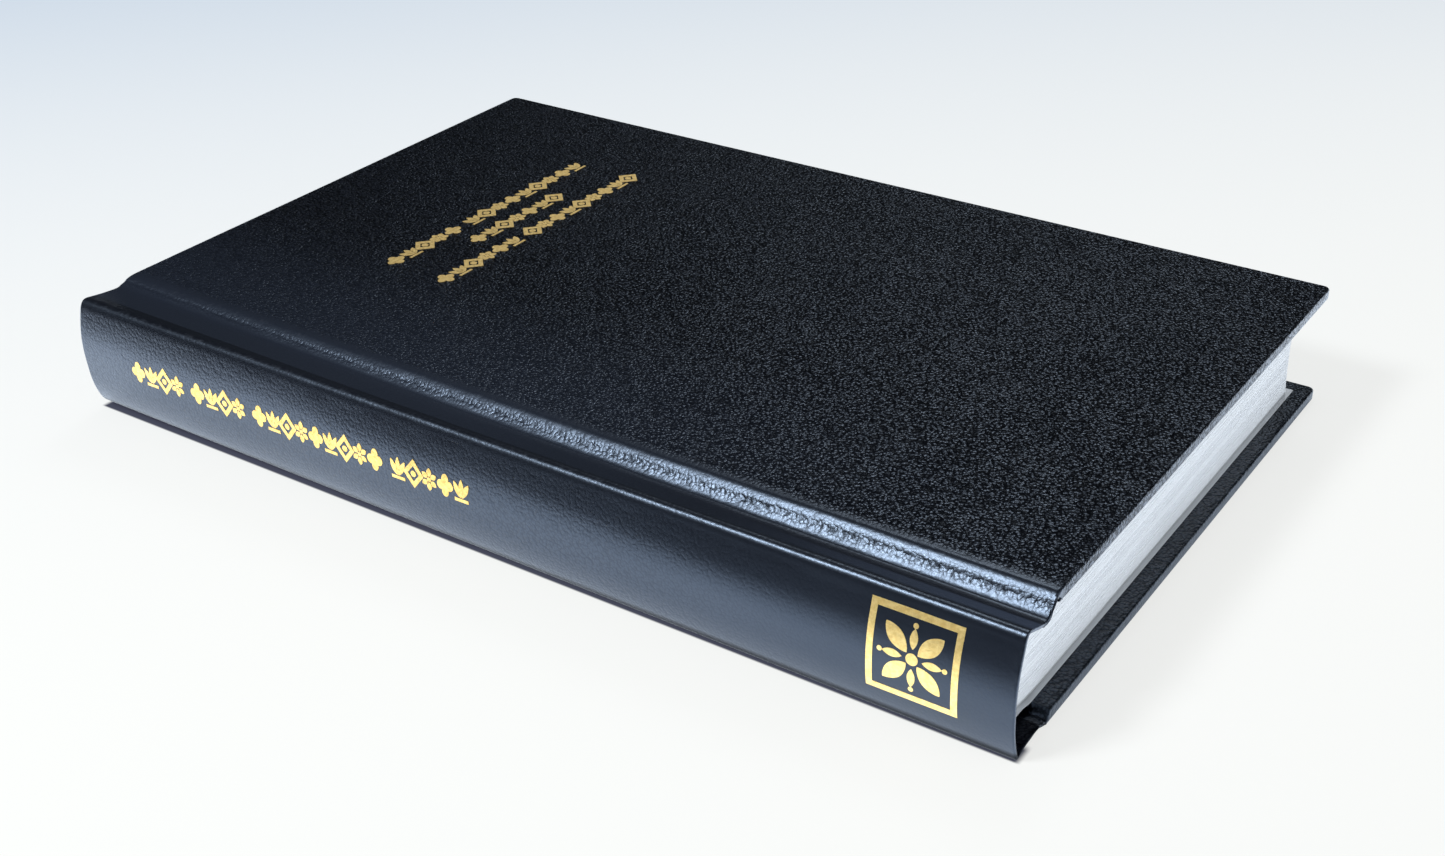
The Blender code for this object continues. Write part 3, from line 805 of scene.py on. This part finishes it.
rng = np.random.RandomState(5)
SECTION_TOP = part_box("section_01")[1].z  # only to make sure that the node is there
FIRST, LAST = 21.85, 3.30
LEAVES = 12
pitch = (FIRST - LAST) / (14 * LEAVES)
for k in range(14):
    solids = []
    for pair in range(LEAVES // 2):
        upper = FIRST - pitch * (k * LEAVES + pair + 0.5)
        lower = FIRST - pitch * (k * LEAVES + LEAVES - 1 - pair + 0.5)
        qa, qb = (PLATEAU_TOP - upper) / SPAN, (PLATEAU_TOP - lower) / SPAN
        shift = rng.normal(0, 0.035, 3)
        paths = []
        for v in (0.0, 1.0):
            # The fold at the back is a half circle about the middle of the section.
            um = 1 - (qa + qb)
            za, zb = float(line_z(qa, 3.2, v)), float(line_z(qb, 3.2, v))
            radius, middle = (za - zb) / 2, (za + zb) / 2
            centre = back_s(um) + 0.72
            top = [(fore_s(upper) + shift[0], float(line_z(qa, 130, v)))]
            top += [(s, float(line_z(qa, s, v))) for s in S_RUN[::-1]]
            arc = [(centre - radius * math.sin(a), middle + radius * math.cos(a)) for a in np.linspace(0, math.pi, 7)]
            bottom = [(s, float(line_z(qb, s, v))) for s in S_RUN]
            bottom += [(fore_s(lower) + shift[1], float(line_z(qb, 130, v)))]
            paths.append(np.array(top + arc + bottom))
        solids.append(sheet_solid(paths[0], paths[1], pitch * 0.97, -BLOCK_Y + shift[2], BLOCK_Y + shift[2] * 0.7))
    obj = combine(f"gathering_{k + 1:02d}", solids, PAGE_EDGES)
    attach(obj, "text_block")
    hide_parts(f"section_{k + 1:02d}")


def leaf_sheets(count, z0, z1, thick, wave=0.0):
    solids = []
    for i in range(count):
        z = z1 - (z1 - z0) * (i + 0.5) / count
        q = (PLATEAU_TOP - z) / SPAN
        shift = rng.normal(0, 0.04, 3)
        paths = []
        for v in (0.0, 1.0):
            line = [(back_s(1 - 2 * q) + 0.4, float(line_z(q, 3.0, v)))]
            line += [(s, float(line_z(q, s, v))) for s in S_RUN]
            line += [(fore_s(z) + shift[0], float(line_z(q, 130, v)))]
            paths.append(np.array(line))
        solids.append(sheet_solid(paths[0], paths[1], thick, -BLOCK_Y + shift[1], BLOCK_Y + shift[2]))
    return solids


def turning(name, node, count, thick, material):
    lo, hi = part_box(node)
    z0, z1 = lo.z * 1000, hi.z * 1000
    obj = combine(name, leaf_sheets(count, z0, z1, thick), material)
    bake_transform(obj)
    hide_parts(node)
    return obj


turning("front_flyleaf_sheet", "front_flyleaf", 1, 0.13, END_PAPER)
for k in range(1, 7):
    turning(f"front_leaf_sheets_{k}", f"front_leaf_{k}", 3, 0.1, PRINTED)
turning("back_flyleaf_sheet", "back_flyleaf", 1, 0.13, END_PAPER)
turning("back_leaf_sheets_1", "back_leaf_1", 3, 0.1, PRINTED)


# ------------------------------------------------------------------ pastedowns
def pastedown(name, node, sign):
    """The paper glued on the board's inner face, with the turn-ins showing through, and on across the joint."""
    ss = np.concatenate([[3.1, 4.0, 5.0, 6.0, 7.0, 8.0, 9.0, 10.0, 11.0, 12.0, 12.9, 14.0], np.arange(16, 126, 4.0), np.arange(127, 134, 0.5), [136, 139, FORE - 4.4, FORE - 4.0]])
    ys = np.concatenate([[-108.9, -108.5, -106, -102], np.arange(-100, -94, 0.5), np.arange(-93, 94, 6.0), np.arange(94.5, 100.5, 0.5), [102, 106, 108.5, 108.9]])
    grid_s, grid_y = np.meshgrid(ss, ys, indexing="ij")
    v = lean(grid_y)
    if sign > 0:
        at_tail, at_head = [25.30, 24.55, 23.85, 23.46, 23.40], [26.05, 25.80, 25.62, 25.56, 25.60]
        floor = np.interp(grid_s, [3.1, 5.0, 7.1, 8.4, 9.2], at_tail) * (1 - v) + np.interp(grid_s, [3.1, 5.0, 7.1, 8.4, 9.2], at_head) * v
        floor = np.minimum(floor, 25.2)
    else:
        floor = np.interp(grid_s, [3.1, 5.0, 7.0, 9.2], [T - 2.1, T - 2.3, T - 2.45, T - 2.52])
    joint = floor - 0.80
    flap = 1 - step(14.6, 15.6, np.minimum(np.minimum(FORE - grid_s, HALF - np.abs(grid_y)), 40))
    board = INNER - 0.05 + 0.24 * (1 - flap)
    rise = step(9.2, 13.4, grid_s)
    z = joint * (1 - rise) + board * rise
    z = z + (wide_noise(grid_s * 0.05, grid_y * 0.04) - 0.5) * 0.04
    thickness = 0.12
    outer = z if sign > 0 else T - z
    inner = outer - sign * thickness
    n_s, n_y = len(ss), len(ys)
    a = np.column_stack([grid_s.ravel(), grid_y.ravel(), outer.ravel()])
    b = np.column_stack([grid_s.ravel(), grid_y.ravel(), inner.ravel()])
    idx = lambda i, j: i * n_y + j
    base = n_s * n_y
    faces = []
    for i in range(n_s - 1):
        for j in range(n_y - 1):
            faces.append((idx(i, j), idx(i + 1, j), idx(i + 1, j + 1), idx(i, j + 1)))
            faces.append(tuple(base + x for x in (idx(i, j), idx(i, j + 1), idx(i + 1, j + 1), idx(i + 1, j))))
    border = [idx(i, 0) for i in range(n_s)] + [idx(n_s - 1, j) for j in range(1, n_y)] + [idx(i, n_y - 1) for i in range(n_s - 2, -1, -1)] + [idx(0, j) for j in range(n_y - 2, 0, -1)]
    for x, y in zip(border, border[1:] + border[:1]):
        faces.append((x, y, y + base, x + base))
    obj = combine(name, [(np.vstack([a, b]), faces)], END_PAPER)
    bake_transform(obj)
    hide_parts(node)
    return obj


pastedown("front_pastedown_sheet", "front_pastedown", 1)
pastedown("back_pastedown_sheet", "back_pastedown", -1)


# ------------------------------------------------------------------ spine card and bands
def spine_card():
    solids = []
    keep = slice(SPINE_A + 2, SPINE_B)
    ys = np.linspace(-(HALF - 1.2), HALF - 1.2, 24)
    outer, inner = [], []
    for y in ys:
        path, normal = front_path(y)
        path, normal = path[keep], normal[keep]
        for offset, into in ((0.33, outer), (0.53, inner)):
            p = path - normal * offset
            into.append(np.column_stack([p[:, 0], np.full(len(p), y), p[:, 1]]))
    c, r = len(outer[0]), len(ys)
    points = np.vstack(outer + inner)
    faces = []
    base = c * r
    for j in range(r - 1):
        for i in range(c - 1):
            q = (j * c + i, j * c + i + 1, (j + 1) * c + i + 1, (j + 1) * c + i)
            faces.append(q)
            faces.append(tuple(base + x for x in q[::-1]))
    border = [i for i in range(c)] + [j * c + c - 1 for j in range(1, r)] + [(r - 1) * c + i for i in range(c - 2, -1, -1)] + [j * c for j in range(r - 2, 0, -1)]
    for x, y in zip(border, border[1:] + border[:1]):
        faces.append((x, x + base, y + base, y))
    obj = combine("spine_card", [(points, faces)], CARD)
    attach(obj, "text_block")
    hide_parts("spine_stiffener")


spine_card()


def back_strip(name, node, offset, thickness, reach, half_length, material):
    """A sheet glued to the block's rounded back, between -reach and +reach of its half height."""
    u = np.linspace(-reach, reach, 25)
    path = np.column_stack([back_s(u), MID + 11.0 * u])
    n = normals_of(path)
    middle = path + n * (offset + thickness / 2)
    obj = combine(name, [sheet_solid(middle, middle, thickness, -half_length, half_length)], material)
    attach(obj, "text_block")
    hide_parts(node)


back_strip("back_mull", "spine_mull", 0.10, 0.14, 0.99, 100.0, MULL)
back_strip("back_lining", "spine_lining_paper", 0.30, 0.12, 0.92, 106.0, KRAFT)


def band(name, node, sign):
    """A corded band: threads wound round a core, with a bead along its foot."""
    wraps, around = 150, 14
    u = np.linspace(0.92, -0.92, wraps * 2 + 1)
    path = np.column_stack([back_s(u) + 0.35, MID + 11.0 * u])
    n = normals_of(path)
    solids = []
    for radius, y, depth in ((0.78, BLOCK_Y + 0.92, 0.07), (0.30, BLOCK_Y + 0.30, 0.05)):
        points = []
        for i, (p, q) in enumerate(zip(path, n)):
            r = radius - depth * (i % 2)
            for j in range(around):
                a = math.tau * j / around
                out = r * math.cos(a)
                push = 0.75 if radius < 0.5 else 0.0
                points.append((p[0] + q[0] * (out + push), sign * (y + r * math.sin(a)), p[1] + q[1] * (out + push)))
        faces = []
        for i in range(len(path) - 1):
            for j in range(around):
                faces.append((i * around + j, i * around + (j + 1) % around, (i + 1) * around + (j + 1) % around, (i + 1) * around + j))
        faces.append(tuple(range(around)))
        faces.append(tuple(range((len(path) - 1) * around, len(path) * around)))
        solids.append((np.array(points), faces))
    obj = combine(name, solids, BAND, 60)
    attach(obj, "text_block")
    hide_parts(node)


band("head_band_wound", "head_band", 1)
band("tail_band_wound", "tail_band", -1)

# ------------------------------------------------------------------ gold stamping
FOIL = 0.055


def cover_map(s, y):
    """A point of the front cover's face, and its outward direction."""
    lift = (wide_noise(y * 0.03, s * 0.03) - 0.5) * 0.05
    return np.column_stack([s, y, T + lift]), np.tile([0.0, 0.0, 1.0], (len(s), 1))


def spine_map(y, z):
    """A point of the spine's face at a height above the table, and its outward direction."""
    points, normals = [], []
    for yy, zz in zip(y, z):
        path, normal = front_path(yy)
        path, normal = path[SPINE_A : SPINE_B + 1], normal[SPINE_A : SPINE_B + 1]
        i = int(np.clip(np.searchsorted(path[:, 1], zz) - 1, 0, len(path) - 2))
        t = (zz - path[i, 1]) / (path[i + 1, 1] - path[i, 1])
        p = path[i] * (1 - t) + path[i + 1] * t
        m = normal[i] * (1 - t) + normal[i + 1] * t
        points.append((p[0], yy, p[1]))
        normals.append((m[0], 0.0, m[1]))
    return np.array(points), np.array(normals)


def patch(surface, a, b):
    """A closed thin solid over a grid of surface coordinates."""
    rows, cols = a.shape
    p, n = surface(a.ravel(), b.ravel())
    top, bottom = p + n * FOIL, p - n * 0.05
    idx = lambda i, j: i * cols + j
    base = rows * cols
    faces = []
    for i in range(rows - 1):
        for j in range(cols - 1):
            q = (idx(i, j), idx(i + 1, j), idx(i + 1, j + 1), idx(i, j + 1))
            faces.append(q)
            faces.append(tuple(base + x for x in q[::-1]))
    border = [idx(i, 0) for i in range(rows)] + [idx(rows - 1, j) for j in range(1, cols)] + [idx(i, cols - 1) for i in range(rows - 2, -1, -1)] + [idx(0, j) for j in range(cols - 2, 0, -1)]
    for x, y in zip(border, border[1:] + border[:1]):
        faces.append((x, y, y + base, x + base))
    return np.vstack([top, bottom]), faces


def blob(surface, ca, cb, ra, rb, shape=None, n=7, turn=0.0):
    """A filled rounded shape: a disc, or a disc whose radius follows shape(angle)."""
    g = np.linspace(-1, 1, n)
    u, v = np.meshgrid(g, g, indexing="ij")
    x, y = u * np.sqrt(1 - v * v / 2), v * np.sqrt(1 - u * u / 2)
    if shape is not None:
        angle = np.arctan2(y, x)
        k = shape(angle)
        x, y = x * k, y * k
    c, s = math.cos(turn), math.sin(turn)
    return patch(surface, ca + ra * (x * c - y * s), cb + rb * (x * s + y * c))


def petal(surface, a0, b0, a1, b1, width, n=9):
    """A pointed leaf from (a0, b0) to (a1, b1)."""
    t = np.linspace(0.0, 1.0, n)
    w = width * (0.04 + 0.96 * np.sin(math.pi * t) ** 0.8)
    da, db = a1 - a0, b1 - b0
    length = math.hypot(da, db)
    na, nb = -db / length, da / length
    across = np.linspace(-0.5, 0.5, 4)
    a = (a0 + da * t)[:, None] + na * w[:, None] * across[None, :]
    b = (b0 + db * t)[:, None] + nb * w[:, None] * across[None, :]
    return patch(surface, a, b)


def ribbon(surface, points, width, closed=False, n=6):
    """A band of even width along a polyline with mitred corners."""
    p = np.array(points, float)
    count = len(p)
    left, right = [], []
    total = count if closed else count
    for i in range(total):
        before = p[(i - 1) % count] if closed or i > 0 else p[i]
        after = p[(i + 1) % count] if closed or i < count - 1 else p[i]
        d0, d1 = p[i] - before, after - p[i]
        d0 = d0 / np.linalg.norm(d0) if np.linalg.norm(d0) > 0 else d1 / np.linalg.norm(d1)
        d1 = d1 / np.linalg.norm(d1) if np.linalg.norm(d1) > 0 else d0
        m = np.array([-(d0 + d1)[1], (d0 + d1)[0]])
        m /= np.linalg.norm(m)
        n0 = np.array([-d0[1], d0[0]])
        m /= max(0.3, float(m @ n0))
        left.append(p[i] + m * width / 2)
        right.append(p[i] - m * width / 2)
    solids = []
    if closed:
        t = np.linspace(0, 1, n)[:-1, None]
        outer = np.vstack([left[i] * (1 - t) + left[(i + 1) % count] * t for i in range(count)])
        inner = np.vstack([right[i] * (1 - t) + right[(i + 1) % count] * t for i in range(count)])
        around = np.vstack([outer, inner])
        q, lift = surface(around[:, 0], around[:, 1])
        size = len(outer)
        faces = []
        for i in range(size):
            k = (i + 1) % size
            faces.append((i, k, size + k, size + i))
            faces.append((2 * size + i, 3 * size + i, 3 * size + k, 2 * size + k))
            faces.append((i, 2 * size + i, 2 * size + k, k))
            faces.append((size + i, size + k, 3 * size + k, 3 * size + i))
        return [(np.vstack([q + lift * FOIL, q - lift * 0.05]), faces)]
    for i in range(count - 1):
        j = (i + 1) % count
        t = np.linspace(0, 1, n)[:, None]
        a = left[i] * (1 - t) + left[j] * t
        b = right[i] * (1 - t) + right[j] * t
        solids.append(patch(surface, np.column_stack([a[:, 0], b[:, 0]]), np.column_stack([a[:, 1], b[:, 1]])))
    return solids


def swap(surface):
    return lambda a, b: surface(b, a)


def ornament_band(surface, a0, a1, b_mid, height, groups):
    """A row of printer's flowers between a0 and a1: quatrefoils, buds, lozenges and three-leaf sprigs."""
    solids = []
    gap = 0.50
    unit = (a1 - a0) / (sum(groups) + gap * (len(groups) - 1))
    at, h, aw, count = a0, height / 2, abs(unit), 0
    lobes = lambda t: 0.60 + 0.40 * np.abs(np.cos(2 * t))
    for size in groups:
        for k in range(size):
            c = at + unit * (k + 0.5)
            r = aw * 0.50
            kind = (count + k) % 4
            if kind == 0:
                solids.append(blob(surface, c, b_mid, r, h, lobes, 11))
            elif kind == 1:
                for side in (-1, 0, 1):
                    solids.append(petal(surface, c + side * r * 0.10, b_mid - h * 0.62, c + side * r * 0.90, b_mid + h * (1.0 if side == 0 else 0.72), r * 0.62))
                solids += ribbon(surface, [(c - r * 0.85, b_mid - h * 0.84), (c + r * 0.85, b_mid - h * 0.84)], h * 0.30, False, 4)
            elif kind == 2:
                solids += ribbon(surface, [(c, b_mid + h), (c + r, b_mid), (c, b_mid - h), (c - r, b_mid)], r * 0.46, True, 4)
                solids.append(blob(surface, c, b_mid, r * 0.34, r * 0.34, None, 5))
            else:
                for turn in range(6):
                    a = math.pi / 2 + turn * math.pi / 3
                    solids.append(petal(surface, c + 0.22 * r * math.cos(a), b_mid + 0.22 * h * math.sin(a), c + r * math.cos(a), b_mid + h * math.sin(a), r * 0.60, 7))
                solids.append(blob(surface, c, b_mid, r * 0.24, r * 0.24, None, 5))
        at += unit * (size + gap)
        count += size
    return solids


def stamp(name, solids, body, material):
    obj = combine(name, solids, material, 50)
    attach(obj, body)
    return obj


stamp("cover_stamp_line_1", ornament_band(cover_map, 47.5, 116.5, 67.1, 4.3, [5, 9]), "front_cover", GOLD_COVER)
stamp("cover_stamp_line_2", ornament_band(cover_map, 66.5, 98.5, 59.2, 4.3, [7]), "front_cover", GOLD_COVER)
stamp("cover_stamp_line_3", ornament_band(cover_map, 46.5, 117.5, 51.3, 4.3, [6, 9]), "front_cover", GOLD_COVER)
stamp("spine_stamp_title", ornament_band(spine_map, 96.6, 1.9, 14.6, 4.9, [4, 4, 9, 5]), "text_block", GOLD)


def emblem():
    """A bordered square with a plain four-petal flower in it."""
    y0, y1, z0, z1 = -84.9, -102.2, 5.8, 23.1
    yc, zc, half = (y0 + y1) / 2, (z0 + z1) / 2, 8.65
    w = 1.25
    corners = [(yc + half - w / 2, zc + half - w / 2), (yc - half + w / 2, zc + half - w / 2), (yc - half + w / 2, zc - half + w / 2), (yc + half - w / 2, zc - half + w / 2)]
    solids = ribbon(spine_map, corners, w, True, 22)
    for k in range(4):
        a = math.pi / 4 + k * math.pi / 2
        c, s = math.cos(a), math.sin(a)
        solids.append(petal(spine_map, yc + 1.5 * c, zc + 1.5 * s, yc + 7.6 * c, zc + 7.6 * s, 3.0, 13))
        a = k * math.pi / 2
        c, s = math.cos(a), math.sin(a)
        solids.append(petal(spine_map, yc + 1.9 * c, zc + 1.9 * s, yc + 5.6 * c, zc + 5.6 * s, 1.5, 9))
        solids.append(blob(spine_map, yc + 6.1 * c, zc + 6.1 * s, 0.5, 0.5, None, 5))
    solids.append(blob(spine_map, yc, zc, 1.15, 1.15, None, 7))
    return solids


stamp("spine_stamp_square", emblem(), "text_block", GOLD_SQUARE)

# ------------------------------------------------------------------ finishes of the CAD pieces that stay
FINISH = {
    "greyboard": BOARD,
    "spine_card": CARD,
    "mull_cloth": MULL,
    "lining_paper": KRAFT,
    "linen_thread": THREAD,
}
for part in frame["record"]["subparts"]:
    node = frame["nodes"].get(part["node"])
    if node is None or node.hide_render:
        continue
    material = FINISH.get(part["material_slot"])
    if material is not None:
        node.data.materials.clear()
        node.data.materials.append(material)

# ------------------------------------------------------------------ stage, light and camera
def by_ray(n, camera, glossy, other):
    """A colour that differs for what the camera sees, for reflections and for bounced light."""
    path = n.tree.nodes.new("ShaderNodeLightPath")
    rest = n.mix(path.outputs["Is Glossy Ray"], other, glossy)
    return n.mix(path.outputs["Is Camera Ray"], rest, camera)


BACKDROP = (0.84, 0.91, 0.97)
FLOOR_SEEN, FLOOR_GLOW, FLOOR_GLOSS = 0.145, 0.74, 1.95


def stage():
    bm = bmesh.new()
    bmesh.ops.create_grid(bm, x_segments=2, y_segments=2, size=12.0)
    mesh = bpy.data.meshes.new("floor")
    bm.to_mesh(mesh)
    bm.free()
    floor = bpy.data.objects.new("floor", mesh)
    floor.location.z = -0.00002
    bpy.context.scene.collection.objects.link(floor)
    n = Nodes("floor_pale")
    n.tree.nodes.remove(n.shader)
    at = n.add("ShaderNodeTexCoord", 3)
    parts = n.tree.nodes.new("ShaderNodeSeparateXYZ")
    n.link(at, parts.inputs[0])
    # Painted light fall-off: the floor is painted darker and bluer towards the far side, away from the camera.
    away = n.math("ADD", n.math("MULTIPLY", parts.outputs[0], 0.66), n.math("MULTIPLY", parts.outputs[1], 0.75))
    away = n.ramp(n.math("MULTIPLY_ADD", n.noise(at, 2.0, 2.0), 0.05, away), -0.06, 0.68)
    seen = n.mix(away, tuple(FLOOR_SEEN * c for c in (1.0, 1.005, 0.985)), tuple(FLOOR_SEEN * c for c in (0.45, 0.57, 0.74)))
    glow = n.mix(away, tuple(FLOOR_GLOW * c for c in (1.0, 1.005, 0.985)), tuple(FLOOR_GLOW * c for c in (0.55, 0.665, 0.81)))
    # Painted reflection: seen in the leather, the floor is painted bright beside the spine, with painted shade close to
    # it and a fall-off far from it.
    left = n.math("MULTIPLY", parts.outputs[0], -1.0)
    near = n.ramp(left, 0.070, 0.100, 0.78, 1.06)
    far = n.ramp(n.math("MULTIPLY_ADD", parts.outputs[1], -0.13, left), 0.090, 0.138, 1.0, 0.08)
    gloss = n.math("MULTIPLY", n.math("MULTIPLY", near, far), FLOOR_GLOSS)
    gloss = n.mix(n.math("GREATER_THAN", left, 0.070), (FLOOR_GLOSS, FLOOR_GLOSS, FLOOR_GLOSS), gloss)
    gloss = n.scaled(gloss, 0.92, 0.985, 1.09)
    # Painted contact shadow: the floor is painted with a thin dark line where the book touches it.
    under = n.math("MULTIPLY_ADD", parts.outputs[1], 0.0050, parts.outputs[0])
    under = n.math("MULTIPLY", n.ramp(under, -0.07175, -0.07115), n.ramp(parts.outputs[0], -0.0655, -0.0675))
    contact_shadow = n.math("MULTIPLY", under, n.ramp(n.math("ABSOLUTE", parts.outputs[1]), 0.1120, 0.1135, 1.0, 0.0))
    seen = n.mix(contact_shadow, seen, (0.02, 0.022, 0.032))
    glow = n.mix(contact_shadow, glow, (0.04, 0.042, 0.062))
    # Far off, past what the main camera sees, the floor melts into the backdrop.
    reach = n.add("ShaderNodeVectorMath", 1, {"operation": "LENGTH"}, i0=at)
    melt = n.ramp(reach, 0.8, 2.2)
    seen = n.mix(melt, seen, (0.0, 0.0, 0.0))
    glow = n.mix(melt, glow, BACKDROP)
    diffuse = n.add("ShaderNodeBsdfDiffuse", 0, None, Color=by_ray(n, seen, gloss, (0.88, 0.90, 0.92)))
    path = n.tree.nodes.new("ShaderNodeLightPath")
    emit = n.add("ShaderNodeEmission", 0, None, Color=glow, Strength=path.outputs["Is Camera Ray"])
    both = n.tree.nodes.new("ShaderNodeAddShader")
    n.link(diffuse, both.inputs[0])
    n.link(emit, both.inputs[1])
    n.link(both.outputs[0], n.out.inputs["Surface"])
    floor.data.materials.append(n.material)


stage()


def area(name, place, aim, width, height, power, colour=(1, 1, 1)):
    light = bpy.data.lights.new(name, "AREA")
    light.shape = "RECTANGLE"
    light.size, light.size_y = width, height
    light.energy = power
    light.color = colour
    obj = bpy.data.objects.new(name, light)
    obj.location = place
    obj.rotation_euler = (Vector(aim) - Vector(place)).to_track_quat("-Z", "Y").to_euler()
    bpy.context.scene.collection.objects.link(obj)
    return light


area("key_softbox", (-0.72, 0.37, 0.92), (-0.05, -0.05, 0.0), 0.27, 0.27, 17.0, (0.93, 0.97, 1.0))
area("ceiling", (1.28, 0.45, 1.65), (0.0, 0.0, 0.0), 0.6, 0.6, 8.0, (0.92, 0.97, 1.0))
area("fill_tail", (0.15, -1.25, 0.50), (0.0, -0.1, 0.0), 0.9, 0.6, 4.2, (0.90, 0.96, 1.0))

world = bpy.data.worlds.new("studio")
bpy.context.scene.world = world
world.use_nodes = True
tree = world.node_tree
tree.nodes.clear()
out = tree.nodes.new("ShaderNodeOutputWorld")
path = tree.nodes.new("ShaderNodeLightPath")
shades = {}
for kind, colour, strength in (("soft", (0.93, 0.975, 1.0), 0.55), ("mirrored", (0.70, 0.85, 1.0), 0.034), ("seen", BACKDROP, 1.0)):
    shades[kind] = tree.nodes.new("ShaderNodeBackground")
    shades[kind].inputs[0].default_value = (*colour, 1)
    shades[kind].inputs[1].default_value = strength
first, second = tree.nodes.new("ShaderNodeMixShader"), tree.nodes.new("ShaderNodeMixShader")
tree.links.new(path.outputs["Is Glossy Ray"], first.inputs[0])
tree.links.new(shades["soft"].outputs[0], first.inputs[1])
tree.links.new(shades["mirrored"].outputs[0], first.inputs[2])
tree.links.new(path.outputs["Is Camera Ray"], second.inputs[0])
tree.links.new(first.outputs[0], second.inputs[1])
tree.links.new(shades["seen"].outputs[0], second.inputs[2])
tree.links.new(second.outputs[0], out.inputs[0])

scene = bpy.context.scene
scene.view_settings.view_transform = "Standard"

# The photograph's camera, as a share of the covers' height from the spine ridge at mid-height.
length = 2 * HALF * 0.001
eye = Vector((-0.96805 * length + S0 * 0.001, -0.92613 * length, 0.89112 * length))
forward = Vector((0.70840, 0.49616, -0.50199)).normalized()
right = Vector((0.56368, -0.82573, -0.02068))
right = (right - forward * right.dot(forward)).normalized()
up = right.cross(forward)
camera = bpy.data.cameras.new("camera")
camera.sensor_width = 36.0
camera.lens = 36.0 * 1848.28 / 1445
camera.clip_start = 0.01
view = bpy.data.objects.new("camera", camera)
view.matrix_world = Matrix(((right.x, up.x, -forward.x, eye.x), (right.y, up.y, -forward.y, eye.y), (right.z, up.z, -forward.z, eye.z), (0, 0, 0, 1)))
bpy.context.scene.collection.objects.link(view)
scene.camera = view
